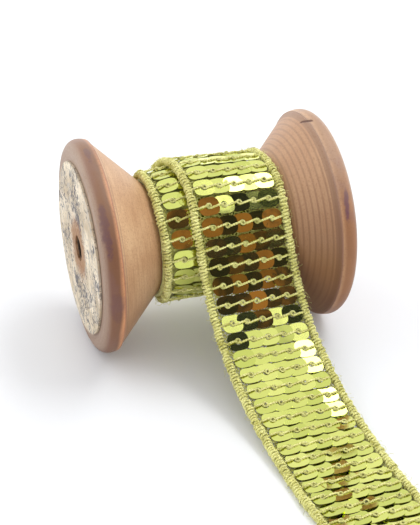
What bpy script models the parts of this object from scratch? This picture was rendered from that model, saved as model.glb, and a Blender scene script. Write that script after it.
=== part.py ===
"""Sequin trim on a turned wooden spool, its loose end run out over the table.

The spool lies on its side, its axis along X. The trim is a flat band: a corded
edge down each side, and rows of five overlapping sequins between the cords. Two
turns of it are wound on the barrel. The last turn crosses over the one below,
leaves the front of the roll and comes down to lie flat, towards -Y.

Shapes are worked out round the middle of the spool's axis, in metres, and hang
from one empty. The empty is placed so that the whole thing stands on Z = 0 with
the middle of its box at X = 0 and Y = 0.
"""

import math

import bmesh
import bpy
from mathutils import Matrix, Vector

MM = 0.001
GAP = 0.35 * MM
SMOOTH_ANGLE = math.radians(35.0)

# Spool, half of it, measured from the middle of its length
SPOOL_HALF_LENGTH = 35.6 * MM
RIM_RADIUS = 30.0 * MM
RIM_ROUND_LENGTH = 3.0 * MM
RIM_ROUND_DEPTH = 3.2 * MM
RIM_END = 30.5 * MM
RIM_STEP = 0.6 * MM
BARREL_RADIUS = 15.2 * MM
CONE_FOOT = RIM_END - (RIM_RADIUS - RIM_STEP - BARREL_RADIUS)
BORE_RADIUS = 3.3 * MM
TURNED_STEPS = 64
ROUND_STEPS = 4

# Paper disc on the left end face
LABEL_RADIUS = 24.2 * MM
LABEL_HOLE_RADIUS = 3.7 * MM
LABEL_THICKNESS = 0.4 * MM

# The band, across: a cord, five sequins, a cord
BAND_HALF_WIDTH = 14.15 * MM
CORD_RADIUS = 1.2 * MM
SEQUINS_ACROSS = 5
SEQUIN_PITCH = 4.3 * MM
SEQUIN_WIDTH = 5.8 * MM
FIRST_SEQUIN = -8.45 * MM
SEQUIN_LOW = 0.25 * MM
SEQUIN_HIGH = 0.6 * MM
ROW_VALLEY = -0.15 * MM
VALLEY_STEP = 0.06 * MM
NET_LEVEL = -0.35 * MM
EDGE_STEP = 0.12 * MM
BAND_UNDERSIDE = 1.1 * MM
UNDERSIDE_INSET = 0.5 * MM

# Where a row's three sections lie, as shares of the row's pitch, and whether the sequins are up
ROW_SECTIONS = ((0.0, False), (0.2, True), (0.8, True))

# The winding, from the line where the band leaves the roll and back round. TURN_END is the last
# of the turn, in which the roll drops by one layer beside the loose end.
ROWS_A_TURN = 23
LEAVE_ANGLE = math.radians(13.3)
LAST_TURN_RADIUS = 20.5 * MM
LAST_TURN_MIDDLE = 5.9 * MM
LAST_TURN_TAPER = -0.045
FIRST_TURN_RADIUS = 17.6 * MM
FIRST_TURN_MIDDLE = -2.6 * MM
UNDER_EDGE = -17.4 * MM
UNDER_RADIUS = 17.7 * MM
UNDER_TAPER = 0.085
UNDER_COLUMNS = 9
TURN_END = math.radians(0.86)

# The loose end: a curve down from the roll, then a straight lie on the table
TOUCH_Y = -86.5 * MM
LEAVE_PULL = 92.0 * MM
TOUCH_PULL = 55.0 * MM
CURVE_STEPS = 160
TAIL_END_Y = -118.0 * MM
TAIL_SLANT = 0.038
TAIL_BEND = 0.27
TAIL_ROWS = 22
ROW_TURN = math.radians(-2.0)
TILT_FADE = 45.0 * MM


def material(name, colour, roughness, metallic=0.0):
    made = bpy.data.materials.new(name)
    made.use_nodes = True
    shader = made.node_tree.nodes["Principled BSDF"]
    shader.inputs["Base Color"].default_value = (*colour, 1.0)
    shader.inputs["Roughness"].default_value = roughness
    shader.inputs["Metallic"].default_value = metallic
    return made


def add_object(name, bm, centre, finish):
    """One object for the mesh, its faces turned outwards, hung from the spool's centre."""
    bmesh.ops.recalc_face_normals(bm, faces=bm.faces)
    mesh = bpy.data.meshes.new(name)
    bm.to_mesh(mesh)
    bm.free()
    mesh.materials.append(finish)
    mesh.shade_smooth()
    mesh.set_sharp_from_angle(angle=SMOOTH_ANGLE)
    made = bpy.data.objects.new(name, mesh)
    bpy.context.scene.collection.objects.link(made)
    made.parent = centre
    return made


def turned(name, outline, centre, finish):
    """Spin a closed outline of (x, radius) points about X, with a flat facet at the bottom."""
    half_step = math.pi / TURNED_STEPS
    to_corner = 1.0 / math.cos(half_step)
    start = half_step - math.pi / 2.0
    bm = bmesh.new()
    ring = [
        bm.verts.new((x, radius * to_corner * math.cos(start), radius * to_corner * math.sin(start)))
        for x, radius in outline
    ]
    edges = [bm.edges.new((a, b)) for a, b in zip(ring, ring[1:] + ring[:1])]
    bmesh.ops.spin(
        bm,
        geom=ring + edges,
        cent=(0.0, 0.0, 0.0),
        axis=(1.0, 0.0, 0.0),
        dvec=(0.0, 0.0, 0.0),
        angle=2.0 * math.pi,
        steps=TURNED_STEPS,
        use_merge=True,
    )
    return add_object(name, bm, centre, finish)


def cone_radius(x):
    """The spool's own radius at x, between its rims: the barrel, then a cone at 45 degrees."""
    return max(BARREL_RADIUS, BARREL_RADIUS + abs(x) - CONE_FOOT)


def spool_outline():
    """Half the spool's outline, from the bore out over the rim to the barrel, then its mirror."""
    round_start = SPOOL_HALF_LENGTH - RIM_ROUND_LENGTH
    half = [(SPOOL_HALF_LENGTH, BORE_RADIUS)]
    for step in range(ROUND_STEPS + 1):
        angle = 0.5 * math.pi * step / ROUND_STEPS
        half.append(
            (
                round_start + RIM_ROUND_LENGTH * math.cos(angle),
                RIM_RADIUS - RIM_ROUND_DEPTH + RIM_ROUND_DEPTH * math.sin(angle),
            )
        )
    half.append((RIM_END, RIM_RADIUS))
    half.append((RIM_END, RIM_RADIUS - RIM_STEP))
    half.append((CONE_FOOT, BARREL_RADIUS))
    return half + [(-x, radius) for x, radius in reversed(half)]


def label_outline():
    near = -SPOOL_HALF_LENGTH - GAP
    far = near - LABEL_THICKNESS
    return [(near, LABEL_RADIUS), (far, LABEL_RADIUS), (far, LABEL_HOLE_RADIUS), (near, LABEL_HOLE_RADIUS)]


def cord_columns(middle):
    """A cord's half-round top as (place across, height) pairs."""
    return [
        (middle + CORD_RADIUS * math.cos(angle), CORD_RADIUS * math.sin(angle))
        for angle in (math.pi, 0.75 * math.pi, 0.5 * math.pi, 0.25 * math.pi, 0.0)
    ]


def band_columns(sequins_up):
    """The band's upper side as (place across, height) pairs, left to right. Each sequin rises to
    the right and ends in a step, because it overlaps its right neighbour."""
    cord_middle = BAND_HALF_WIDTH - CORD_RADIUS
    columns = cord_columns(-cord_middle)
    columns.append((-cord_middle + CORD_RADIUS + EDGE_STEP, NET_LEVEL))
    low = SEQUIN_LOW if sequins_up else ROW_VALLEY
    high = SEQUIN_HIGH if sequins_up else ROW_VALLEY + VALLEY_STEP
    left = FIRST_SEQUIN - 0.5 * SEQUIN_WIDTH
    for number in range(SEQUINS_ACROSS):
        right = FIRST_SEQUIN + number * SEQUIN_PITCH + 0.5 * SEQUIN_WIDTH
        columns += [(left, low), (right, high)]
        left = right + EDGE_STEP
    return columns + cord_columns(cord_middle)


def under_columns(sequins_up, edge):
    """The turn below, as (x, radius) pairs, from its left edge as far as the last turn's edge."""
    middle = UNDER_EDGE + BAND_HALF_WIDTH
    seen = [(middle + across, height) for across, height in band_columns(sequins_up)[:UNDER_COLUMNS]]
    seen.append((edge, seen[-1][1]))
    pairs = []
    for number, (x, height) in enumerate(seen):
        place = min(x, edge - 0.5 * EDGE_STEP * (len(seen) - number))
        pairs.append((place, UNDER_RADIUS + UNDER_TAPER * (place - UNDER_EDGE) + height))
    return pairs


def roll_section(share, sequins_up):
    """One section through the wound trim as (x, radius) points, share of a turn back from the
    line where the band leaves: the turn below, the last turn on it, then the inner wall."""
    near_leaving = 0.5 + 0.5 * math.cos(math.pi * share)
    middle = FIRST_TURN_MIDDLE + (LAST_TURN_MIDDLE - FIRST_TURN_MIDDLE) * near_leaving
    radius = FIRST_TURN_RADIUS + (LAST_TURN_RADIUS - FIRST_TURN_RADIUS) * near_leaving
    taper = LAST_TURN_TAPER * near_leaving
    top = under_columns(sequins_up, middle - BAND_HALF_WIDTH)
    top += [(middle + across, radius + taper * across + height) for across, height in band_columns(sequins_up)]
    right = top[-1][0]
    wall = [right, min(CONE_FOOT, right - EDGE_STEP), -CONE_FOOT, top[0][0]]
    return top + [(x, cone_radius(x) + math.sqrt(2.0) * GAP) for x in wall]


def on_drum(x, angle, radius):
    """A point round the spool: angle is measured at the front, upwards from level."""
    return Vector((x, -radius * math.cos(angle), radius * math.sin(angle)))


def trim_roll(centre, finish):
    """The wound turns as one ring, lofted through its sections and closed on itself."""
    bm = bmesh.new()
    rings = [
        ((row + place) / ROWS_A_TURN, sequins_up)
        for row in range(ROWS_A_TURN)
        for place, sequins_up in ROW_SECTIONS
    ]
    rings.append((1.0 - TURN_END / math.tau, False))
    loops = []
    for share, sequins_up in rings:
        angle = LEAVE_ANGLE + math.tau * share
        loops.append([bm.verts.new(on_drum(x, angle, radius)) for x, radius in roll_section(share, sequins_up)])
    join_loops(bm, loops, True)
    return add_object("trim_roll", bm, centre, finish)


def join_loops(bm, loops, closed):
    """Faces between neighbouring closed loops of points, with end faces unless they close up."""
    pairs = list(zip(loops, loops[1:] + loops[:1])) if closed else list(zip(loops, loops[1:]))
    for near, far in pairs:
        count = len(near)
        for number in range(count):
            following = (number + 1) % count
            bm.faces.new((near[number], near[following], far[following], far[number]))
    if not closed:
        bm.faces.new(loops[0])
        bm.faces.new(loops[-1])


def tail_line(floor):
    """The band's middle line after it leaves the roll, as close (y, z) points: a smooth curve
    down to the table, then straight on."""
    start = Vector((-LAST_TURN_RADIUS * math.cos(LEAVE_ANGLE), LAST_TURN_RADIUS * math.sin(LEAVE_ANGLE)))
    start_way = Vector((-math.sin(LEAVE_ANGLE), -math.cos(LEAVE_ANGLE)))
    touch = Vector((TOUCH_Y, floor + BAND_UNDERSIDE))
    line = []
    for step in range(CURVE_STEPS + 1):
        t = step / CURVE_STEPS
        line.append(
            (2 * t**3 - 3 * t**2 + 1) * start
            + (t**3 - 2 * t**2 + t) * LEAVE_PULL * start_way
            + (3 * t**2 - 2 * t**3) * touch
            + (t**3 - t**2) * TOUCH_PULL * Vector((-1.0, 0.0))
        )
    line.append(Vector((TAIL_END_Y, touch.y)))
    return line


def along(line, distance):
    """The point at a distance along a line of points, and the line's direction there."""
    left = distance
    for near, far in zip(line, line[1:]):
        step = (far - near).length
        if left <= step or far is line[-1]:
            way = (far - near) / step
            return near + way * left, way
        left -= step


def tail_section(line, distance, sequins_up):
    """One section through the loose end: its upper side, then the two lower corners."""
    point, way = along(line, distance)
    up = Vector((way.y, -way.x))
    tilt = LAST_TURN_TAPER * max(0.0, 1.0 - distance / TILT_FADE) ** 2
    turn = ROW_TURN * min(1.0, distance / TILT_FADE)
    middle = LAST_TURN_MIDDLE + TAIL_SLANT * distance + TAIL_BEND * distance**2
    corner = BAND_HALF_WIDTH - UNDERSIDE_INSET
    columns = band_columns(sequins_up) + [(corner, -BAND_UNDERSIDE), (-corner, -BAND_UNDERSIDE)]
    section = []
    for across, height in columns:
        lift = up * (height + tilt * across)
        section.append(
            Vector((middle + across * math.cos(turn), point.x + lift.x + across * math.sin(turn), point.y + lift.y))
        )
    return section


def trim_tail(centre, finish):
    """The loose end as one sheet with its cords and sequin rows, flat underneath."""
    line = tail_line(-RIM_RADIUS)
    length = sum((far - near).length for near, far in zip(line, line[1:]))
    start = TURN_END * LAST_TURN_RADIUS + GAP
    pitch = (length - start) / TAIL_ROWS
    bm = bmesh.new()
    loops = []
    for row in range(TAIL_ROWS):
        for place, sequins_up in ROW_SECTIONS:
            loops.append(tail_section(line, start + (row + place) * pitch, sequins_up))
    loops.append(tail_section(line, length, False))
    join_loops(bm, [[bm.verts.new(point) for point in loop] for loop in loops], False)
    return add_object("trim_tail", bm, centre, finish)


def box_of(objects):
    """Lowest and highest corner of the objects' meshes, round the spool's centre."""
    points = [vertex.co for made in objects for vertex in made.data.vertices]
    low = [min(point[axis] for point in points) for axis in range(3)]
    high = [max(point[axis] for point in points) for axis in range(3)]
    return low, high


def main():
    for old in list(bpy.data.objects):
        bpy.data.objects.remove(old)
    centre = bpy.data.objects.new("spool_centre", None)
    bpy.context.scene.collection.objects.link(centre)
    wood = material("turned_wood", (0.56, 0.35, 0.22), 0.6)
    paper = material("aged_paper", (0.78, 0.70, 0.58), 0.85)
    sequins = material("lime_sequins", (0.55, 0.62, 0.10), 0.3, 0.7)
    pieces = [
        turned("spool", spool_outline(), centre, wood),
        turned("paper_label", label_outline(), centre, paper),
        trim_roll(centre, sequins),
        trim_tail(centre, sequins),
    ]
    low, high = box_of(pieces)
    centre.matrix_world = Matrix.Translation((-0.5 * (low[0] + high[0]), -0.5 * (low[1] + high[1]), RIM_RADIUS))


main()
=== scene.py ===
# %% [markdown]
# Sequin trim on a turned wooden spool.
#
# The trim is a flat band about 28 mm wide. It has a fine net ground, a cord down each side that is
# wrapped in gold thread, and rows of five lime sequins between the cords. A twisted thread runs along
# each row and dips through the sequins' holes. Two turns lie on the spool, and the loose end comes
# down over the table. The script first loads the solid model as a fixed frame. Everything after that
# is dressed round it, in metres, with Z up.

# %% Load the frame
import math
import random

import bmesh
import bpy
from mathutils import Matrix, Vector


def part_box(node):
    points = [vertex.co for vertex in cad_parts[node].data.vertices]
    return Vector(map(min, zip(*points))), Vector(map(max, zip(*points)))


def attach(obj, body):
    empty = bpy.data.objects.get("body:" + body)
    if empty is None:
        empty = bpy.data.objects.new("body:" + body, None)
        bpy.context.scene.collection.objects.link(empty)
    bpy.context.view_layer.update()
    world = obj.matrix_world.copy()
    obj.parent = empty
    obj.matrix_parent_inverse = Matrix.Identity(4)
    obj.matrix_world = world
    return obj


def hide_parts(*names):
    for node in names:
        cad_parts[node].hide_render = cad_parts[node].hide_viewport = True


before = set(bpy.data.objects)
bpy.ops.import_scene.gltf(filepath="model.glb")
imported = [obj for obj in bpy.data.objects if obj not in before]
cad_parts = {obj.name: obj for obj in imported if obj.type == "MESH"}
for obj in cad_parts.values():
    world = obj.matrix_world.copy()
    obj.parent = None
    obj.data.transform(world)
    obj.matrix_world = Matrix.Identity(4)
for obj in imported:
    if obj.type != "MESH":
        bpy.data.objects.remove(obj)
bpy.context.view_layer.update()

spool_low, spool_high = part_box("spool")
AXLE = 0.5 * (spool_low + spool_high)
MM = 0.001
print("middle of the spool's axis", tuple(AXLE))

# %% [markdown]
# The camera stands to the left of the front and looks down at about 30 degrees with a long lens, as
# for a product picture taken at arm's length. The lens, the distance and the point it looks at were
# found by fitting the outlines of the two flanges. They could be set by eye too, but a fit saves many
# test renders.

# %% Camera
CAMERA_AZIMUTH = math.radians(-17.97)
CAMERA_ELEVATION = math.radians(30.4)
CAMERA_DISTANCE = 393.7 * MM
LENS_MM = 93.4
LOOK_AT = AXLE + Vector((2.06, 0.0, 18.46 - 30.0)) * MM

camera_way = Vector((
    math.sin(CAMERA_AZIMUTH) * math.cos(CAMERA_ELEVATION),
    -math.cos(CAMERA_AZIMUTH) * math.cos(CAMERA_ELEVATION),
    math.sin(CAMERA_ELEVATION),
))
camera_data = bpy.data.cameras.new("camera")
camera_data.lens = LENS_MM
camera_data.sensor_width = 36.0
camera_data.clip_start = 0.01
camera = bpy.data.objects.new("camera", camera_data)
bpy.context.scene.collection.objects.link(camera)
camera.location = LOOK_AT + camera_way * CAMERA_DISTANCE
camera.rotation_euler = camera_way.to_track_quat("Z", "Y").to_euler()
bpy.context.scene.camera = camera
print("camera at", tuple(camera.location))

# %% [markdown]
# Nodes are wired through one small helper. A Socket stands for a node's output. Adding, multiplying
# or comparing it puts a Math node in the tree, so a pattern reads like ordinary arithmetic. Every
# other node comes from Nodes.add, which sets the node's choices first and then its inputs.

# %% Node helpers
class Socket:
    """A node's output that takes part in arithmetic: each operator adds one Math node."""

    def __init__(self, nodes, output):
        self.nodes = nodes
        self.output = output

    def math(self, operation, *others):
        return self.nodes.add("ShaderNodeMath", (self, *others), {"operation": operation})

    def __add__(self, other):
        return self.math("ADD", other)

    def __mul__(self, other):
        return self.math("MULTIPLY", other)

    def __sub__(self, other):
        return self.math("SUBTRACT", other)

    def __truediv__(self, other):
        return self.math("DIVIDE", other)

    def __pow__(self, other):
        return self.math("POWER", other)

    def __radd__(self, other):
        return self + other

    def __rmul__(self, other):
        return self * other

    def __rsub__(self, other):
        return self.nodes.add("ShaderNodeMath", (other, self), {"operation": "SUBTRACT"})

    def __rtruediv__(self, other):
        return self.nodes.add("ShaderNodeMath", (other, self), {"operation": "DIVIDE"})

    def __neg__(self):
        return self * -1.0

    def sin(self):
        return self.math("SINE")

    def cos(self):
        return self.math("COSINE")

    def abs(self):
        return self.math("ABSOLUTE")

    def ramp(self, low, high):
        """0 below low and 1 above high, smooth between them. low may be the greater one."""
        choices = {"interpolation_type": "SMOOTHSTEP"}
        if low < high:
            return self.nodes.add("ShaderNodeMapRange", (self, low, high, 0.0, 1.0), choices)
        return self.nodes.add("ShaderNodeMapRange", (self, high, low, 1.0, 0.0), choices)


class Nodes:
    """Adds nodes to one tree."""

    def __init__(self, tree):
        self.tree = tree

    def add(self, kind, inputs=(), choices=None, output=0):
        """A node of that kind. inputs are values or Sockets, in order or by name."""
        node = self.tree.nodes.new(kind)
        for name, value in (choices or {}).items():
            setattr(node, name, value)
        pairs = inputs.items() if isinstance(inputs, dict) else enumerate(inputs)
        for key, value in pairs:
            self.feed(node.inputs[key], value)
        return Socket(self, node.outputs[output]) if node.outputs else None

    def feed(self, target, value):
        if isinstance(value, Socket):
            self.tree.links.new(value.output, target)
        elif value is not None:
            target.default_value = value

    def split(self, vector):
        """The three numbers of a vector."""
        node = self.add("ShaderNodeSeparateXYZ", (vector,)).output.node
        return [Socket(self, out) for out in node.outputs]

    def join(self, x, y, z):
        return self.add("ShaderNodeCombineXYZ", (x, y, z))

    def mix(self, share, first, second):
        """A colour between two colours."""
        made = self.add("ShaderNodeMix", {0: share}, {"data_type": "RGBA"}, 2)
        node = made.output.node
        self.feed(node.inputs[6], first)
        self.feed(node.inputs[7], second)
        return made

    def noise(self, place, scale, detail=3.0, roughness=0.5):
        inputs = {"Vector": place, "Scale": scale, "Detail": detail, "Roughness": roughness}
        return self.add("ShaderNodeTexNoise", inputs)

    def place(self):
        """The point on the object, in metres."""
        return self.add("ShaderNodeTexCoord", output="Object")

    def flat_place(self, name):
        """The piece's own UV map."""
        return self.add("ShaderNodeUVMap", choices={"uv_map": name})

    def kept(self, name):
        """A number that the mesh keeps at each point."""
        return self.add("ShaderNodeAttribute", choices={"attribute_name": name}, output="Fac")


def rgb(red, green, blue):
    """A colour given as it looks on a screen, 0 to 255, as the linear colour that shaders take."""
    def linear(value):
        value /= 255.0
        return value / 12.92 if value <= 0.04045 else ((value + 0.055) / 1.055) ** 2.4

    return (linear(red), linear(green), linear(blue), 1.0)


def new_material(name, **constants):
    """A material whose constant sockets are set, and the helper and shader to add the rest."""
    made = bpy.data.materials.new(name)
    made.use_nodes = True
    shader = made.node_tree.nodes["Principled BSDF"]
    for key, value in constants.items():
        shader.inputs[key.replace("_", " ")].default_value = value
    return made, Nodes(made.node_tree), shader


def finish_material(nodes, shader, colour, roughness=None, height=None, depth=0.0001, metallic=None):
    """Feed a shader: colour, roughness, and a height in 0 to 1 that becomes bumps of that depth."""
    nodes.feed(shader.inputs["Base Color"], colour)
    nodes.feed(shader.inputs["Roughness"], roughness)
    nodes.feed(shader.inputs["Metallic"], metallic)
    if height is not None:
        bump = nodes.add("ShaderNodeBump", {"Strength": 1.0, "Distance": depth, "Height": height})
        nodes.feed(shader.inputs["Normal"], bump)


print("node helpers ready")

# %% [markdown]
# The studio is a white table under soft light. Sequins are mirrors, so what stands round them matters
# as much as the lamps: a dark card with brown patches, in front, is mirrored by every sequin
# that faces the camera, and the white room by all the others. The world is painted in that way, by
# direction. A direction has an angle round the line that runs from the camera's left to its right (0 is
# level towards the camera, 90 is straight up, 180 is level behind) and a share sideways. Lamps that
# sequins must not mirror are hidden from glossy rays.

# %% World by direction
FRONT = Vector((camera_way.x, camera_way.y, 0.0)).normalized()
RIGHT = Vector((-FRONT.y, FRONT.x, 0.0))
ROOM_WHITE = (0.98, 0.99, 1.0, 1.0)
DARK_CLOTHES = (0.020, 0.023, 0.036, 1.0)
BROWN_SKIN = (0.44, 0.175, 0.10, 1.0)
BROWN_DEEP = (0.20, 0.085, 0.05, 1.0)
WINDOW_STRENGTH = 9.0
WINDOW_ON_CLOTH = 1.0
WINDOW_IN_SEQUIN = 4.5
PERSON_ON_CLOTH = 0.25
LOW_GLOW = 1.0


def make_world():
    world = bpy.data.worlds.new("studio")
    bpy.context.scene.world = world
    world.use_nodes = True
    world.node_tree.nodes.clear()
    nodes = Nodes(world.node_tree)
    way = nodes.add("ShaderNodeTexCoord", output="Generated")

    def share_of(axis):
        choices = {"operation": "DOT_PRODUCT"}
        return nodes.add("ShaderNodeVectorMath", (way, tuple(axis)), choices, "Value")

    ahead = share_of(FRONT)
    side = share_of(RIGHT)
    above = share_of((0.0, 0.0, 1.0))
    angle = above.math("ARCTAN2", ahead) * math.degrees(1.0)
    wobble = (nodes.noise(way, 3.0, 2.0) - 0.5) * 14.0
    person = (angle + wobble).ramp(80.0, 75.0) * angle.ramp(-9.0, -5.0)
    person = person * side.ramp(-0.45, -0.35) * side.ramp(0.86, 0.78)
    on_cloth = nodes.add("ShaderNodeLightPath", output="Is Diffuse Ray")
    person = person * (1.0 - on_cloth * (1.0 - PERSON_ON_CLOTH))
    patches = (angle * 0.55 + side * 8.0).sin() + (side * 48.0 - angle * 0.2).sin()
    brown = patches.ramp(-0.05, 0.15) * (angle + wobble).ramp(70.0, 66.0)
    skin = nodes.mix(nodes.noise(way, 14.0, 1.0).ramp(0.4, 0.6), BROWN_DEEP, BROWN_SKIN)
    clothes = nodes.mix(brown, DARK_CLOTHES, skin)
    seen = nodes.mix(person, ROOM_WHITE, clothes)
    across = share_of((1.0, 0.0, 0.0))
    window = angle.ramp(77.0, 80.0) * angle.ramp(130.0, 126.0)
    window = window * across.ramp(0.325, 0.340) * across.ramp(0.62, 0.57)
    low = above.ramp(0.36, 0.16) * (1.0 - person)
    in_sequin = nodes.add("ShaderNodeLightPath", output="Is Glossy Ray")
    window_strength = WINDOW_STRENGTH - on_cloth * (WINDOW_STRENGTH - WINDOW_ON_CLOTH)
    window_strength = window_strength - in_sequin * (WINDOW_STRENGTH - WINDOW_IN_SEQUIN)
    strength = 1.0 + window * (window_strength - 1.0) + low * LOW_GLOW
    room = nodes.add("ShaderNodeBackground", (seen, strength))
    plain = nodes.add("ShaderNodeBackground", ((1.0, 1.0, 1.0, 1.0), 1.0))
    to_camera = nodes.add("ShaderNodeLightPath", output="Is Camera Ray")
    both = nodes.add("ShaderNodeMixShader", (to_camera, room, plain))
    nodes.add("ShaderNodeOutputWorld", (both,))


make_world()

# %% Lamps, table and colours as seen
def lamp(name, way, distance, width, power, mirrored=False):
    """A square soft lamp that shines at the spool from that way."""
    data = bpy.data.lights.new(name, "AREA")
    data.size = width
    data.energy = power
    made = bpy.data.objects.new(name, data)
    bpy.context.scene.collection.objects.link(made)
    way = Vector(way).normalized()
    made.location = AXLE + way * distance
    made.rotation_euler = way.to_track_quat("Z", "Y").to_euler()
    made.visible_glossy = mirrored
    return made


lamp("lamp_left_back", (-0.9, 0.8, 0.9), 0.9, 0.6, 1.2)
lamp("lamp_front_fill", tuple(FRONT + Vector((0.2, 0.0, 0.9))), 0.9, 0.6, 0.3)

TABLE_HALF_WIDTH = 0.55
table_mesh = bpy.data.meshes.new("table")
corners = [(TABLE_HALF_WIDTH * x, TABLE_HALF_WIDTH * y, 0.0) for x, y in ((-1, -1), (1, -1), (1, 1), (-1, 1))]
table_mesh.from_pydata(corners, [], [(0, 1, 2, 3)])
table = bpy.data.objects.new("table", table_mesh)
bpy.context.scene.collection.objects.link(table)
white, nodes, shader = new_material("table_white", Roughness=0.6)
shader.inputs["Base Color"].default_value = (0.83, 0.84, 0.86, 1.0)
table_mesh.materials.append(white)
bpy.context.scene.view_settings.view_transform = "Standard"
print("studio ready")

# %% [markdown]
# Everything on the trim follows one path: two turns round the spool, then the loose end. A point on the
# band is given by how far along it lies, from the line where it leaves the roll, how far across, and how
# high above the thread. Along is negative on the wound part. A curve object with a bevel could carry
# plain ribbon, but sequins, threads and cords each need the band's own directions, so the path is a
# function that all of them call.

# %% The path of the wound turns
LEAVE_ANGLE = math.radians(13.3)
BAND_HALF_WIDTH = 14.15 * MM
LAST_TURN_RADIUS = 20.5 * MM
LAST_TURN_MIDDLE = 5.9 * MM
LAST_TURN_TAPER = -0.045
FIRST_TURN_RADIUS = 17.6 * MM
FIRST_TURN_MIDDLE = -2.6 * MM
UNDER_EDGE = -17.4 * MM
UNDER_RADIUS = 17.7 * MM
UNDER_TAPER = 0.085
UNDER_SAG = 2.4 * MM
DIVE_RADIUS = 16.7 * MM
DIVE_MIDDLE = -1.4 * MM
TURNS = 1.70
PATH_STEPS = 600


def smooth(low, high, value):
    share = min(1.0, max(0.0, (value - low) / (high - low)))
    return share * share * (3.0 - 2.0 * share)


def blend(first, second, share):
    return first + (second - first) * share


def wound(turn):
    """Angle, middle, radius and taper that many turns back from the line where the band leaves."""
    near = 0.5 + 0.5 * math.cos(math.pi * min(turn, 1.0))
    middle = blend(FIRST_TURN_MIDDLE, LAST_TURN_MIDDLE, near)
    radius = blend(FIRST_TURN_RADIUS, LAST_TURN_RADIUS, near)
    taper = LAST_TURN_TAPER * near
    below = smooth(1.0, 1.10, turn)
    middle = blend(middle, UNDER_EDGE + BAND_HALF_WIDTH, below)
    radius = blend(radius, UNDER_RADIUS + UNDER_TAPER * BAND_HALF_WIDTH, below)
    taper = blend(taper, UNDER_TAPER, below)
    dive = smooth(1.25, 1.55, turn)
    middle = blend(middle, DIVE_MIDDLE, dive)
    radius = blend(radius, DIVE_RADIUS, dive)
    return LEAVE_ANGLE + math.tau * turn, middle, radius, blend(taper, 0.0, dive)


wound_lengths = [0.0]
for step in range(PATH_STEPS):
    turn_now = TURNS * (step + 0.5) / PATH_STEPS
    wound_lengths.append(wound_lengths[-1] + wound(turn_now)[2] * math.tau * TURNS / PATH_STEPS)
WOUND_LENGTH = wound_lengths[-1]
print("wound length", round(WOUND_LENGTH / MM, 1), "mm")

# %% The path of the loose end
TOUCH_Y = -86.5 * MM
TAIL_END_Y = -118.0 * MM
BAND_UNDERSIDE = 1.1 * MM
LEAVE_PULL = 92.0 * MM
TOUCH_PULL = 55.0 * MM
TAIL_SLANT = 0.038
TAIL_BEND = 0.27
ROW_TURN = math.radians(-2.0)
TILT_FADE = 45.0 * MM
SWAY = 0.6 * MM
SWAY_ALONG = -6.0 * MM
SWAY_LENGTH = 7.0 * MM
CURVE_STEPS = 400


def tail_points():
    """The loose end's middle line as close (y, z) points round the axle: a curve, then a flat lie."""
    start = Vector((-LAST_TURN_RADIUS * math.cos(LEAVE_ANGLE), LAST_TURN_RADIUS * math.sin(LEAVE_ANGLE)))
    start_pull = Vector((-math.sin(LEAVE_ANGLE), -math.cos(LEAVE_ANGLE))) * LEAVE_PULL
    touch = Vector((TOUCH_Y, BAND_UNDERSIDE - AXLE.z))
    touch_pull = Vector((-TOUCH_PULL, 0.0))
    points = []
    for step in range(CURVE_STEPS + 1):
        t = step / CURVE_STEPS
        point = (2 * t**3 - 3 * t**2 + 1) * start + (t**3 - 2 * t**2 + t) * start_pull
        points.append(point + (3 * t**2 - 2 * t**3) * touch + (t**3 - t**2) * touch_pull)
    flat_steps = 40
    for step in range(1, flat_steps + 1):
        points.append(Vector((blend(TOUCH_Y, TAIL_END_Y, step / flat_steps), touch.y)))
    return points


tail_line = tail_points()
tail_lengths = [0.0]
for near_point, far_point in zip(tail_line, tail_line[1:]):
    tail_lengths.append(tail_lengths[-1] + (far_point - near_point).length)
TAIL_LENGTH = tail_lengths[-1]
print("loose end", round(TAIL_LENGTH / MM, 1), "mm")


def reach(lengths, distance):
    """The step in a rising list of lengths where a distance falls, and the share of that step."""
    low, high = 0, len(lengths) - 1
    while high - low > 1:
        middle = (low + high) // 2
        if lengths[middle] <= distance:
            low = middle
        else:
            high = middle
    return low, (distance - lengths[low]) / (lengths[high] - lengths[low])


def on_band(along, across, height):
    """A point of the trim, in the frame's metres."""
    across -= SWAY * math.exp(-(((along - SWAY_ALONG) / SWAY_LENGTH) ** 2))
    if along < 0.0:
        step, share = reach(wound_lengths, -along)
        turn = TURNS * (step + share) / PATH_STEPS
        angle, middle, radius, taper = wound(turn)
        pressed = smooth(1.0, 1.10, turn) * smooth(-5.0 * MM, 8.0 * MM, across) * smooth(1.55, 1.25, turn)
        radius += taper * across + height - UNDER_SAG * pressed
        return AXLE + Vector((middle + across, -radius * math.cos(angle), radius * math.sin(angle)))
    step, share = reach(tail_lengths, along)
    near_point, far_point = tail_line[step], tail_line[step + 1]
    point = near_point.lerp(far_point, share)
    way = (far_point - near_point).normalized()
    up = Vector((way.y, -way.x))
    tilt = LAST_TURN_TAPER * max(0.0, 1.0 - along / TILT_FADE) ** 2
    turn = ROW_TURN * min(1.0, along / TILT_FADE)
    middle = LAST_TURN_MIDDLE + TAIL_SLANT * along + TAIL_BEND * along**2
    point = point + up * (height + tilt * across)
    return AXLE + Vector((middle + across * math.cos(turn), point.x + across * math.sin(turn), point.y))


def band_ways(along, across):
    """The band's own directions at a place: across to the right, on towards the cut end, and up."""
    step = 0.2 * MM
    right = (on_band(along, across + step, 0.0) - on_band(along, across - step, 0.0)).normalized()
    ahead_of = min(along + step, TAIL_LENGTH)
    behind_of = max(along - step, -WOUND_LENGTH)
    onward = (on_band(ahead_of, across, 0.0) - on_band(behind_of, across, 0.0)).normalized()
    up = onward.cross(right).normalized()
    return right, right.cross(up).normalized(), up


print("up at the front of the roll", tuple(round(x, 2) for x in band_ways(-1.0 * MM, 0.0)[2]))

# %% [markdown]
# The rows of sequins are machine-sewn at an even pitch of about 5.5 mm. On the loose end the stitches
# have drawn in a little, so the pitch shrinks slowly towards the cut end.

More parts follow.
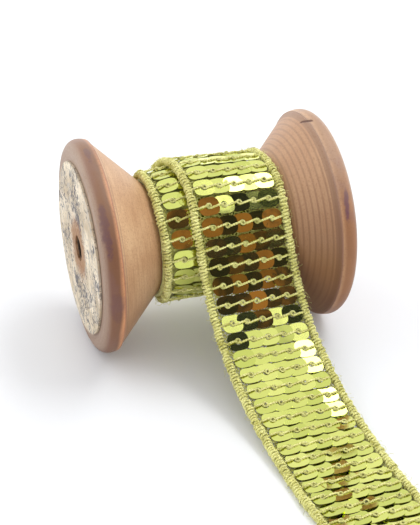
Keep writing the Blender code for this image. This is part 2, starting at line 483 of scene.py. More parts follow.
# %% Rows along the band
ROW_ZERO = -0.4 * MM
ROW_PITCH = 5.5 * MM
PITCH_LOSS = 0.0215 * MM
WOUND_PITCH = 5.57 * MM
ROW_MARGIN = 2.4 * MM

rows = []
number = 1
while ROW_ZERO + ROW_PITCH * number - PITCH_LOSS * number**2 < TAIL_LENGTH - ROW_MARGIN:
    rows.append(ROW_ZERO + ROW_PITCH * number - PITCH_LOSS * number**2)
    number += 1
place_back = ROW_ZERO
while place_back > -WOUND_LENGTH + ROW_MARGIN:
    rows.append(place_back)
    place_back -= WOUND_PITCH
rows.sort()
print(len(rows), "rows of sequins")

# %% [markdown]
# Geometry Nodes make what repeats. The helper below builds a tree with named inputs, runs it on a
# source mesh, and keeps the result as a plain mesh, so that nothing live is left on the piece.

# %% Running a tree of Geometry Nodes
SOCKET_KINDS = {float: "NodeSocketFloat", int: "NodeSocketInt"}


def mesh_object(name, points, edges=(), faces=()):
    mesh = bpy.data.meshes.new(name)
    mesh.from_pydata([tuple(point) for point in points], list(edges), list(faces))
    made = bpy.data.objects.new(name, mesh)
    bpy.context.scene.collection.objects.link(made)
    return made


def keep_at_points(made, name, values):
    """Store a number or a vector at each point of a mesh."""
    kind = "FLOAT_VECTOR" if hasattr(values[0], "__len__") else "FLOAT"
    kept = made.data.attributes.new(name, kind, "POINT")
    for item, value in zip(kept.data, values):
        if kind == "FLOAT":
            item.value = value
        else:
            item.vector = value


def joined(nodes, *parts):
    both = nodes.add("GeometryNodeJoinGeometry")
    for part in parts:
        nodes.tree.links.new(part.output, both.output.node.inputs[0])
    return both


def on_points(nodes, points, thing):
    """The thing on each point, faced by the directions up and right that the point keeps."""
    vector = {"data_type": "FLOAT_VECTOR"}
    up = nodes.add("GeometryNodeInputNamedAttribute", {"Name": "up"}, vector)
    right = nodes.add("GeometryNodeInputNamedAttribute", {"Name": "right"}, vector)
    axes = {"primary_axis": "Z", "secondary_axis": "X"}
    facing = nodes.add("FunctionNodeAxesToRotation", (up, right), axes)
    inputs = {"Points": points, "Instance": thing, "Rotation": facing}
    return nodes.add("GeometryNodeInstanceOnPoints", inputs)


def grow(source, build, finish, sizes):
    """Run the tree that build makes on a source object. sizes are the tree's named inputs."""
    tree = bpy.data.node_groups.new(source.name, "GeometryNodeTree")
    tree.interface.new_socket("Geometry", in_out="INPUT", socket_type="NodeSocketGeometry")
    tree.interface.new_socket("Geometry", in_out="OUTPUT", socket_type="NodeSocketGeometry")
    identifiers = {}
    for key, value in sizes.items():
        made = tree.interface.new_socket(key, in_out="INPUT", socket_type=SOCKET_KINDS[type(value)])
        identifiers[key] = made.identifier
    nodes = Nodes(tree)
    start = tree.nodes.new("NodeGroupInput")
    given = {key: Socket(nodes, start.outputs[key]) for key in sizes}
    shape = build(nodes, Socket(nodes, start.outputs["Geometry"]), given)
    shape = nodes.add("GeometryNodeRealizeInstances", {"Geometry": shape})
    shape = nodes.add("GeometryNodeSetMaterial", {"Geometry": shape, "Material": finish})
    nodes.add("NodeGroupOutput", {"Geometry": shape})
    modifier = source.modifiers.new("grown", "NODES")
    modifier.node_group = tree
    for key, value in sizes.items():
        modifier[identifiers[key]] = value
    graph = bpy.context.evaluated_depsgraph_get()
    mesh = bpy.data.meshes.new_from_object(source.evaluated_get(graph))
    source.modifiers.remove(modifier)
    source.data = mesh
    mesh.name = source.name
    if not mesh.materials:
        mesh.materials.append(finish)
    mesh.calc_loop_triangles()
    print(source.name, len(mesh.loop_triangles), "triangles")
    return source


# %% [markdown]
# Lime film: sequins are punched from polyester film with a metal coat under clear lacquer. Each is an
# almost perfect mirror, with a faint ripple from punching. A metallic shader with a low roughness and a
# clear coat gives that. The tone differs a little between sequins, through a number kept on each one.

# %% Film material
LIME_LIGHT = rgb(234, 238, 132)
LIME_DEEP = rgb(206, 214, 104)


def lime_film():
    made, nodes, shader = new_material("lime_film", Metallic=1.0, Coat_Weight=0.5, Coat_Roughness=0.04)
    tone = nodes.kept("tone")
    place = nodes.place()
    grain = nodes.noise(place, 9000.0, 2.0)
    ripple = nodes.noise(place, 260.0, 1.0)
    colour = nodes.mix(tone, LIME_DEEP, LIME_LIGHT)
    finish_material(nodes, shader, colour, 0.05 + grain * 0.06, ripple, 0.00002)
    return made


film = lime_film()

# %% [markdown]
# A sequin is a rounded square of film with a hole in the middle. In a row each one lies over its right
# neighbour's left edge, so it leans: its right edge is up. The outer ones roll down towards the cords.
# Beyond that every sequin hangs on its thread at a slightly different angle, and that is what makes the
# patchwork of light and dark. They could be copied by an Array, but only points with their own
# directions allow the lean, so the tree puts one disc on each point.

# %% Sequins
SEQUIN_PITCH = 4.3 * MM
FIRST_SEQUIN = -8.45 * MM
SEQUIN_HALF_WIDTH = 2.9 * MM
SEQUIN_HALF_HEIGHT = 2.62 * MM
SEQUIN_LEVEL = 0.42 * MM
FILM = 0.09 * MM
HOLE = 0.95 * MM
OVERLAP_LEAN = math.radians(-3.4)
ROLL_DOWN = [math.radians(angle) for angle in (-2.0, -0.5, 0.0, 1.0, 5.5)]
FLATTER = 0.35
DRUM_LEAN = math.radians(1.6)
SHINGLE_LEAN = math.radians(2.5)
SHINGLE_MORE = math.radians(2.0)
LEAN_SPREAD = math.radians(2.4)
LOOSE_SPREAD = math.radians(2.8)
LEAN_LIMIT = math.radians(6.0)


def sequin_points():
    """Where the sequins sit, which way they face, and the tone of each."""
    dice = random.Random(30)

    def chance(spread):
        return max(-LEAN_LIMIT, min(LEAN_LIMIT, dice.gauss(0.0, spread)))

    points, ups, rights, tones = [], [], [], []
    for along in rows:
        spread = blend(LEAN_SPREAD, LOOSE_SPREAD, smooth(45.0 * MM, 70.0 * MM, along))
        for column, roll in enumerate(ROLL_DOWN):
            across = FIRST_SEQUIN + column * SEQUIN_PITCH
            right, onward, up = band_ways(along, across)
            sideways = OVERLAP_LEAN + roll * blend(1.0, FLATTER, smooth(10.0 * MM, 30.0 * MM, along))
            sideways += chance(LEAN_SPREAD)
            backwards = blend(DRUM_LEAN, SHINGLE_LEAN, smooth(10.0 * MM, 30.0 * MM, along)) + chance(spread)
            backwards += SHINGLE_MORE * smooth(55.0 * MM, 85.0 * MM, along)
            up = (up + right * math.tan(sideways) - onward * math.tan(backwards)).normalized()
            points.append(on_band(along, across, SEQUIN_LEVEL))
            ups.append(up)
            rights.append((right - up * right.dot(up)).normalized())
            tones.append(dice.random())
    return points, ups, rights, tones


def sequin_tree(nodes, source, given):
    circle = nodes.add("GeometryNodeCurvePrimitiveCircle", {"Resolution": 24, "Radius": 1.0})
    x, y, z = nodes.split(nodes.add("GeometryNodeInputPosition"))
    squareness = 2.0 / 3.0
    wide = (x.abs() ** squareness) * x.math("SIGN") * given["Half width"]
    high = (y.abs() ** squareness) * y.math("SIGN") * given["Half height"]
    rim = nodes.add("GeometryNodeSetPosition", {"Geometry": circle, "Position": nodes.join(wide, high, 0.0)})
    hole = nodes.add("GeometryNodeCurvePrimitiveCircle", {"Resolution": 12, "Radius": given["Hole"]})
    both = joined(nodes, rim, hole)
    flat = nodes.add("GeometryNodeFillCurve", {"Curve": both}, {"mode": "TRIANGLES"})
    raise_by = {"Mesh": flat, "Offset Scale": given["Film"], "Individual": False}
    raised = nodes.add("GeometryNodeExtrudeMesh", raise_by)
    under = nodes.add("GeometryNodeFlipFaces", {"Mesh": flat})
    closed = joined(nodes, raised, under)
    disc = nodes.add("GeometryNodeMergeByDistance", {"Geometry": closed, "Distance": 0.000001})
    return on_points(nodes, source, disc)


places, ups, rights, tones = sequin_points()
sequins = mesh_object("sequins", places)
keep_at_points(sequins, "up", ups)
keep_at_points(sequins, "right", rights)
keep_at_points(sequins, "tone", tones)
grow(sequins, sequin_tree, film, {
    "Half width": SEQUIN_HALF_WIDTH,
    "Half height": SEQUIN_HALF_HEIGHT,
    "Hole": HOLE,
    "Film": FILM,
})
print(len(places), "sequins")

# %% [markdown]
# Gold thread: matt yarn with a slight glint, twisted from fine fibres. The cords, the row threads and the
# stray fibres are all of it. Its colour drifts a little along the band, and fine streaks stand for the
# fibres, because a fibre is far too thin to be modelled.

# %% Thread material
GOLD_LIGHT = rgb(246, 244, 166)
GOLD_DEEP = rgb(172, 166, 56)


def gold_thread(name, light, deep):
    made, nodes, shader = new_material(name, Roughness=0.55, Sheen_Weight=0.25, Sheen_Roughness=0.4)
    place = nodes.place()
    drift = nodes.noise(place, 240.0, 2.0)
    fibres = nodes.noise(place, 3600.0, 3.0, 0.7)
    share = (drift * 0.5 + fibres * 1.2).ramp(0.62, 1.05)
    finish_material(nodes, shader, nodes.mix(share, deep, light), None, fibres, 0.0001)
    return made


thread = gold_thread("gold_thread", GOLD_LIGHT, GOLD_DEEP)
pale_thread = gold_thread("pale_thread", rgb(228, 226, 146), rgb(172, 170, 82))

# %% [markdown]
# Each edge cord is a soft core that is wrapped in thread, turn by turn. A bump pattern on a tube would
# look smooth at its outline, so the wrap is a real helix: the cord's line is cut into short steps, each
# step is moved out from the line by an angle that keeps turning, and the result is skinned as a thread.
# The step's distance wavers, which makes the wraps lumpy as on the real trim.

# %% Edge cords
CORD_MIDDLE = 12.95 * MM
CORD_RADIUS = 1.2 * MM
WRAP_PITCH = 0.92 * MM
WRAP_THREAD = 0.34 * MM
BINDING_PITCH = -2.3 * MM
BINDING_THREAD = 0.20 * MM
WRAP_STEPS = 10
LINE_STEP = 0.5 * MM


def band_line(across, height, first, last, step):
    """Points along the band at one place across."""
    count = math.ceil((last - first) / step)
    return [on_band(blend(first, last, number / count), across, height) for number in range(count + 1)]


def line_object(name, lines):
    """One mesh of edges for several lines of points."""
    points, edges = [], []
    for line in lines:
        start = len(points)
        points += line
        edges += [(start + number, start + number + 1) for number in range(len(line) - 1)]
    return mesh_object(name, points, edges)


def shaken(nodes, curve, scale, amount):
    """Move a curve's points about by smooth noise."""
    place = nodes.add("GeometryNodeInputPosition")
    inputs = {"Vector": place, "Scale": scale, "Detail": 1.0}
    noise = nodes.add("ShaderNodeTexNoise", inputs, output="Color")
    centred = nodes.add("ShaderNodeVectorMath", (noise, (0.5, 0.5, 0.5)), {"operation": "SUBTRACT"})
    offset = nodes.add("ShaderNodeVectorMath", {"Vector": centred, "Scale": amount}, {"operation": "SCALE"})
    return nodes.add("GeometryNodeSetPosition", {"Geometry": curve, "Offset": offset})


def wrap_round(nodes, line, pitch, steps, distance, thread_radius):
    """A thread wound round a line: steps points a turn, each moved out from the line."""
    step = pitch.abs() / steps
    fine = nodes.add("GeometryNodeResampleCurve", {"Curve": line, "Length": step}, {"mode": "LENGTH"})
    index = nodes.add("GeometryNodeInputIndex")
    angle = index * (math.tau / steps) * pitch.math("SIGN")
    place = nodes.add("GeometryNodeInputPosition")
    angle = angle + (nodes.noise(place, 500.0, 1.0) - 0.5) * 4.0
    normal = nodes.add("GeometryNodeInputNormal")
    tangent = nodes.add("GeometryNodeInputTangent")
    side = nodes.add("ShaderNodeVectorMath", (tangent, normal), {"operation": "CROSS_PRODUCT"})
    scale = {"operation": "SCALE"}
    out = nodes.add("ShaderNodeVectorMath", {"Vector": normal, "Scale": angle.cos() * distance}, scale)
    over = nodes.add("ShaderNodeVectorMath", {"Vector": side, "Scale": angle.sin() * distance}, scale)
    offset = nodes.add("ShaderNodeVectorMath", (out, over), {"operation": "ADD"})
    helix = nodes.add("GeometryNodeSetPosition", {"Geometry": fine, "Offset": offset})
    ring = nodes.add("GeometryNodeCurvePrimitiveCircle", {"Resolution": 5, "Radius": thread_radius})
    return nodes.add("GeometryNodeCurveToMesh", {"Curve": helix, "Profile Curve": ring, "Fill Caps": True})


def wrapped_cord(nodes, source, given):
    line = nodes.add("GeometryNodeMeshToCurve", {"Mesh": source})
    line = shaken(nodes, line, given["Shake scale"], given["Shake"])
    place = nodes.add("GeometryNodeInputPosition")
    waver = (nodes.noise(place, given["Waver scale"], 2.0) - 0.5) * given["Waver"]
    distance = given["Cord radius"] - given["Thread radius"] + waver
    wrap = wrap_round(nodes, line, given["Pitch"], given["Steps"], distance, given["Thread radius"])
    outside = given["Cord radius"] - given["Binding radius"] * 0.6 + waver
    fine_steps = given["Steps"] * 2.0
    binding = wrap_round(nodes, line, given["Binding pitch"], fine_steps, outside, given["Binding radius"])
    coarse = nodes.add("GeometryNodeResampleCurve", {"Curve": line, "Length": 0.001}, {"mode": "LENGTH"})
    core_radius = given["Cord radius"] - given["Thread radius"] * 2.0
    core_ring = nodes.add("GeometryNodeCurvePrimitiveCircle", {"Resolution": 8, "Radius": core_radius})
    core_inputs = {"Curve": coarse, "Profile Curve": core_ring, "Fill Caps": True}
    core = nodes.add("GeometryNodeCurveToMesh", core_inputs)
    return nodes.add("GeometryNodeSetShadeSmooth", {"Geometry": joined(nodes, wrap, binding, core)})


cords = []
for side_name, side_sign in (("left", -1.0), ("right", 1.0)):
    line = band_line(side_sign * CORD_MIDDLE, 0.0, -WOUND_LENGTH, TAIL_LENGTH, LINE_STEP)
    cord = line_object("edge_cord_" + side_name, [line])
    cords.append(grow(cord, wrapped_cord, thread, {
        "Pitch": WRAP_PITCH,
        "Steps": float(WRAP_STEPS),
        "Binding pitch": BINDING_PITCH,
        "Binding radius": BINDING_THREAD,
        "Cord radius": CORD_RADIUS,
        "Thread radius": WRAP_THREAD,
        "Waver": 1.0 * MM,
        "Waver scale": 800.0,
        "Shake": 0.5 * MM,
        "Shake scale": 220.0,
    }))
    for corner in cord.data.vertices:
        corner.co.z = max(corner.co.z, 0.0)

# %% [markdown]
# Along each row runs a thread of two twisted plies. It starts in the left cord, lies over the film,
# dips through every hole and ends in the right cord. At each hole the lock stitch makes a small knot.
# The twist comes from a two-lobed profile that turns as it is swept along, which costs half the faces
# of two separate plies.

# %% Row threads
ROW_THREAD = 0.35 * MM
THREAD_STEP = 0.22 * MM
THREAD_OVER = 0.80 * MM
THREAD_DIP = 0.30 * MM
THREAD_SLANT = 0.44 * MM


def row_line(along, dice):
    """A row's thread from cord to cord: high over the film, low at the holes, and a little slanted."""
    drift = dice.uniform(-0.15, 0.15) * MM
    count = int(2.0 * CORD_MIDDLE / THREAD_STEP)
    line = []
    for number in range(count + 1):
        across = blend(-CORD_MIDDLE, CORD_MIDDLE, number / count)
        phase = (across - FIRST_SEQUIN) / SEQUIN_PITCH
        cycle = phase - math.floor(phase)
        rise = abs(math.sin(math.pi * phase)) ** 0.7
        end = smooth(0.0, 2.2 * MM, CORD_MIDDLE - abs(across))
        height = blend(0.1 * MM, blend(THREAD_DIP, THREAD_OVER, rise), end)
        slant = (0.5 - cycle) * 2.0 * THREAD_SLANT * end
        shift = drift + slant
        place = min(TAIL_LENGTH, max(-WOUND_LENGTH, along + shift))
        line.append(on_band(place, across, height))
    return line


def twisted_thread(nodes, source, given):
    line = nodes.add("GeometryNodeMeshToCurve", {"Mesh": source})
    index = nodes.add("GeometryNodeInputIndex")
    line = nodes.add("GeometryNodeSetCurveTilt", {"Curve": line, "Tilt": index * given["Twist"]})
    ring = nodes.add("GeometryNodeCurvePrimitiveCircle", {"Resolution": 8, "Radius": 1.0})
    x, y, z = nodes.split(nodes.add("GeometryNodeInputPosition"))
    pinch = (0.58 + x * x * 0.42) * given["Thread radius"]
    pinched = nodes.join(x * pinch, y * pinch, 0.0)
    lobes = nodes.add("GeometryNodeSetPosition", {"Geometry": ring, "Position": pinched})
    swept = nodes.add("GeometryNodeCurveToMesh", {"Curve": line, "Profile Curve": lobes, "Fill Caps": True})
    return nodes.add("GeometryNodeSetShadeSmooth", {"Geometry": swept})


thread_dice = random.Random(5)
row_threads = line_object("row_threads", [row_line(along, thread_dice) for along in rows])
grow(row_threads, twisted_thread, thread, {"Twist": 0.95, "Thread radius": ROW_THREAD})

# %% Knots at the holes
KNOT_RADIUS = 0.70 * MM
KNOT_THREAD = 0.22 * MM


def knot_points():
    dice = random.Random(9)
    points, ups, rights = [], [], []
    for along in rows:
        for column in range(len(ROLL_DOWN)):
            across = FIRST_SEQUIN + column * SEQUIN_PITCH
            right, onward, up = band_ways(along, across)
            lean = Vector([dice.uniform(-0.45, 0.45) for axis in range(3)])
            height = THREAD_DIP + dice.uniform(0.0, 0.24) * MM
            shift = dice.uniform(-0.2, 0.2) * MM
            points.append(on_band(along + shift, across + dice.uniform(-0.2, 0.2) * MM, height))
            ups.append((up + lean).normalized())
            rights.append((right * dice.choice((-1.0, 1.0)) + lean * 0.5).normalized())
    return points, ups, rights


def knot_tree(nodes, source, given):
    coil = nodes.add("GeometryNodeCurveSpiral", {
        "Resolution": 12,
        "Rotations": 1.6,
        "Start Radius": given["Knot radius"],
        "End Radius": given["Knot radius"] * 0.75,
        "Height": given["Thread radius"] * 2.2,
    })
    ring = nodes.add("GeometryNodeCurvePrimitiveCircle", {"Resolution": 5, "Radius": given["Thread radius"]})
    knot = nodes.add("GeometryNodeCurveToMesh", {"Curve": coil, "Profile Curve": ring, "Fill Caps": True})
    knot = nodes.add("GeometryNodeSetShadeSmooth", {"Geometry": knot})
    return on_points(nodes, source, knot)


places, ups, rights = knot_points()
knots = mesh_object("thread_knots", places)
keep_at_points(knots, "up", ups)
keep_at_points(knots, "right", rights)
grow(knots, knot_tree, pale_thread, {"Knot radius": KNOT_RADIUS, "Thread radius": KNOT_THREAD})

# %% [markdown]
# The ground of the trim is a fine net of lime yarn. Its cells are under a millimetre, so they are
# holes in the material, on a thin sheet that follows the band. The sheet's own UV map is in millimetres,
# so the cells keep their size round the roll.

# %% Net ground
NET_LEVEL = -0.35 * MM
NET_THICKNESS = 0.14 * MM
NET_HALF_WIDTH = 12.6 * MM
NET_STEP = 1.0 * MM
NET_COLUMNS = 12
NET_LIGHT = rgb(205, 205, 110)
NET_DEEP = rgb(160, 158, 60)


def net_material():
    made, nodes, shader = new_material("net_yarn", Roughness=0.6, Sheen_Weight=0.2)
    flat = nodes.flat_place("net_flat")
    choices = {"feature": "DISTANCE_TO_EDGE"}
    cells = nodes.add("ShaderNodeTexVoronoi", {"Vector": flat, "Scale": 1.25}, choices)
    yarn = cells.ramp(0.15, 0.10)
    fuzz = nodes.noise(flat, 3.0, 3.0)
    finish_material(nodes, shader, nodes.mix(fuzz, NET_DEEP, NET_LIGHT), None, fuzz, 0.00005)
    nodes.feed(shader.inputs["Alpha"], yarn)
    return made


def net_sheet():
    """A closed thin slab along the whole band, with its upper and lower skins UV-mapped in mm."""
    length = WOUND_LENGTH + TAIL_LENGTH
    count = math.ceil(length / NET_STEP)
    points, faces, flat = [], [], []
    width = NET_COLUMNS + 1
    for level in (0.0, -NET_THICKNESS):
        for row in range(count + 1):
            along = blend(-WOUND_LENGTH, TAIL_LENGTH, row / count)
            for column in range(width):
                across = blend(-NET_HALF_WIDTH, NET_HALF_WIDTH, column / NET_COLUMNS)
                points.append(on_band(along, across, NET_LEVEL + level))
                flat.append((across / MM, along / MM))
    skin = (count + 1) * width
    for row in range(count):
        for column in range(NET_COLUMNS):
            a = row * width + column
            faces.append((a, a + width, a + width + 1, a + 1))
            faces.append((skin + a, skin + a + 1, skin + a + width + 1, skin + a + width))
    for row in range(count):
        for a, b in ((row * width, (row + 1) * width), ((row + 2) * width - 1, (row + 1) * width - 1)):
            faces.append((a, skin + a, skin + b, b))
    for column in range(NET_COLUMNS):
        last = count * width + column
        faces.append((column + 1, skin + column + 1, skin + column, column))
        faces.append((last, skin + last, skin + last + 1, last + 1))
    made = mesh_object("net_ground", points, (), faces)
    made.data.materials.append(net_material())
    layer = made.data.uv_layers.new(name="net_flat")
    for loop, spot in zip(made.data.loops, layer.data):
        spot.uv = flat[loop.vertex_index]
    bm = bmesh.new()
    bm.from_mesh(made.data)
    bmesh.ops.recalc_face_normals(bm, faces=bm.faces)
    bm.to_mesh(made.data)
    bm.free()
    made.data.shade_smooth()
    return made


net = net_sheet()
print("net ground", len(net.data.polygons), "faces")

# %% [markdown]
# Three smaller things finish the trim. The turns beneath the ones that show are one plain ring, because
# only their left edge can be seen. A thin thread zigzags between each cord and the sequins, where the
# net was caught in when the cord was sewn on. Loose fibres stand off the cords, as on any wrapped yarn.

# %% Turns beneath, margin threads and stray fibres
INNER_BEAD = (-15.95 * MM, 16.15 * MM, 0.8 * MM)
INNER_TOP = 16.5 * MM
INNER_RIGHT = 11.0 * MM
INNER_BOTTOM = 15.25 * MM
ZIGZAG_PITCH = 1.1 * MM
ZIGZAG_IN = 10.7 * MM
ZIGZAG_OUT = 12.3 * MM
ZIGZAG_THREAD = 0.09 * MM
FIBRE_THREAD = 0.045 * MM
FIBRES = 650


def inner_outline():
    """The outline of the turns beneath: a round edge at the left, then a flat top over the barrel."""
    middle, level, radius = INNER_BEAD
    bead = []
    for step in range(8):
        angle = math.radians(blend(250.0, 60.0, step / 7))
        bead.append((middle + radius * math.cos(angle), level + radius * math.sin(angle)))
    top_start = blend(middle, INNER_RIGHT, 0.1)
    return [*bead, (top_start, INNER_TOP), (INNER_RIGHT, INNER_TOP), (INNER_RIGHT, INNER_BOTTOM)]


def zigzag_line(side_sign):
    count = int((WOUND_LENGTH + TAIL_LENGTH) / ZIGZAG_PITCH * 2.0)
    dice = random.Random(21)
    line = []
    for number in range(count + 1):
        along = blend(-WOUND_LENGTH, TAIL_LENGTH, number / count)
        across = (ZIGZAG_OUT if number % 2 else ZIGZAG_IN) + dice.uniform(-0.2, 0.2) * MM
        line.append(on_band(along, side_sign * across, dice.uniform(-0.15, 0.15) * MM))
    return line


def fibre_line(dice):
    """One short curl that leaves a cord and bends over."""
    along = dice.uniform(-0.62 * WOUND_LENGTH, TAIL_LENGTH)
    side_sign = dice.choice((-1.0, 1.0))
    turned = math.radians(dice.uniform(-20.0, 200.0))
    bend = math.radians(dice.uniform(-70.0, 70.0))
    reach_out = dice.uniform(0.4, 1.4) * MM
    drift = dice.uniform(-1.2, 1.2) * MM
    line = []
    for step in range(6):
        share = step / 5
        angle = turned + bend * share
        distance = 0.9 * CORD_RADIUS + reach_out * math.sin(0.5 * math.pi * share)
        across = side_sign * CORD_MIDDLE + distance * math.cos(angle)
        place = min(TAIL_LENGTH, max(-WOUND_LENGTH, along + drift * share**1.5))
        point = on_band(place, across, distance * math.sin(angle))
        point.z = max(point.z, FIBRE_THREAD)
        line.append(point)
    return line


def thin_thread(nodes, source, given):
    line = nodes.add("GeometryNodeMeshToCurve", {"Mesh": source})
    ring = nodes.add("GeometryNodeCurvePrimitiveCircle", {"Resolution": 3, "Radius": given["Thread radius"]})
    return nodes.add("GeometryNodeCurveToMesh", {"Curve": line, "Profile Curve": ring, "Fill Caps": True})


margins = line_object("margin_threads", [zigzag_line(-1.0), zigzag_line(1.0)])
grow(margins, thin_thread, thread, {"Thread radius": ZIGZAG_THREAD})
fibre_dice = random.Random(33)
fibres = line_object("stray_fibres", [fibre_line(fibre_dice) for number in range(FIBRES)])
grow(fibres, thin_thread, pale_thread, {"Thread radius": FIBRE_THREAD})

# %% Hand the trim to the frame
for piece in (sequins, knots, row_threads, margins, fibres, *cords, net):
    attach(piece, "root")
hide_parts("trim_roll", "trim_tail")
WOUND_LENGTH + TAIL_LENGTH

# %% [markdown]
# The spool is turned from one piece of birch or beech: two flanges with rounded rims, 45 degree cones and
# a barrel. On the lathe it is one outline spun round the axis, so it is made that way here too, with a
# small flat where each rim stands on the table. The tool left fine rings. The right cone has about nine
# plain to see, so they are cut into its outline. The left one has only fine lines, which are colour.

# %% Turning
SPOOL_HALF_LENGTH = 35.6 * MM
RIM_RADIUS = 30.0 * MM
RIM_ROUND_LENGTH = 3.0 * MM
RIM_ROUND_DEPTH = 3.2 * MM
RIM_END = 30.5 * MM
RIM_STEP = 0.6 * MM
RIM_EASE = 0.35 * MM
EASE_STEPS = 4
BARREL_RADIUS = 15.2 * MM
CONE_FOOT = 16.3 * MM
BORE_RADIUS = 3.3 * MM
TURNED_STEPS = 160
ROUND_STEPS = 8
RING_PITCH = 1.25 * MM
RING_DEPTH = 0.10 * MM
RING_STEPS = 5


def half_outline(ringed):
    """Half the spool's outline as (x, radius) points, from the bore over the rim to the barrel."""
    round_start = SPOOL_HALF_LENGTH - RIM_ROUND_LENGTH
    half = [(SPOOL_HALF_LENGTH, BORE_RADIUS), (SPOOL_HALF_LENGTH, 0.5 * RIM_RADIUS)]
    for step in range(ROUND_STEPS + 1):
        angle = 0.5 * math.pi * step / ROUND_STEPS
        x = round_start + RIM_ROUND_LENGTH * math.cos(angle)
        half.append((x, RIM_RADIUS - RIM_ROUND_DEPTH * (1.0 - math.sin(angle))))
    for step in range(1, EASE_STEPS + 1):
        share = step / EASE_STEPS
        half.append((blend(round_start, RIM_END, share), RIM_RADIUS - RIM_EASE * share**2))
    count = round((RIM_END - CONE_FOOT) / RING_PITCH * RING_STEPS)
    for step in range(count):
        x = blend(RIM_END, CONE_FOOT, step / count)
        cut = RING_DEPTH * (0.5 - 0.5 * math.cos(math.tau * step / RING_STEPS)) if ringed else 0.0
        half.append((x - cut, x - RIM_END + RIM_RADIUS - RIM_STEP - cut))
    half.append((CONE_FOOT, BARREL_RADIUS))
    return half


def lathe(name, outline, steps, wobble=None):
    """Spin a closed outline of (x, radius) points round the axle, with a flat facet at the bottom."""
    to_corner = 1.0 / math.cos(math.pi / steps)
    points, faces = [], []
    for step in range(steps):
        angle = math.tau * (step + 0.5) / steps - 0.5 * math.pi
        for x, radius in outline:
            reach_out = radius * to_corner + (wobble(angle, radius) if wobble else 0.0)
            points.append(AXLE + Vector((x, reach_out * math.cos(angle), reach_out * math.sin(angle))))
    count = len(outline)
    for step in range(steps):
        following = (step + 1) % steps
        for number in range(count):
            after = (number + 1) % count
            near, far = step * count, following * count
            faces.append((near + number, near + after, far + after, far + number))
    made = mesh_object(name, points, (), faces)
    bm = bmesh.new()
    bm.from_mesh(made.data)
    bmesh.ops.recalc_face_normals(bm, faces=bm.faces)
    bm.to_mesh(made.data)
    bm.free()
    made.data.shade_smooth()
    made.data.set_sharp_from_angle(angle=math.radians(35.0))
    return made


inner_turns = lathe("inner_turns", inner_outline(), 96)
inner_turns.data.materials.append(pale_thread)
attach(inner_turns, "root")

left_half = [(-x, radius) for x, radius in reversed(half_outline(False))]
spool = lathe("turned_spool", half_outline(True) + left_half, TURNED_STEPS)
print("spool", len(spool.data.polygons), "faces")

# %% [markdown]
# Bare wood with stains from handling. The colour goes by where a point lies on the turned shape: rings by
# its distance from the axle, stained rims, a greyer ring round the paper. Light and shade are painted in
# too: painted shade makes the right half, the front and the underside darker, a painted shadow lies under
# the right rim's step and in the bore, the tops are lightened or darkened as painted light and shade, and
# the left rim's band next to the cone is an orange painted highlight. All of it is worked out from the
# place on the object, because turned rings are true circles and need no picture.

# %% Wood material
WOOD_LIGHT = rgb(217, 180, 140)
WOOD_DEEP = rgb(180, 136, 98)
RING_DARK = rgb(126, 84, 54)
RIM_BROWN = rgb(116, 74, 46)
RIM_HIGHLIGHT_ORANGE = rgb(206, 144, 98)
RIM_TAN = rgb(146, 98, 60)
BORE_PAINTED_SHADE = rgb(60, 44, 34)
STAIN_PURPLE = rgb(112, 76, 76)
FACE_GREY = rgb(148, 122, 103)
TOP_PAINTED_LIGHT = rgb(238, 212, 184)


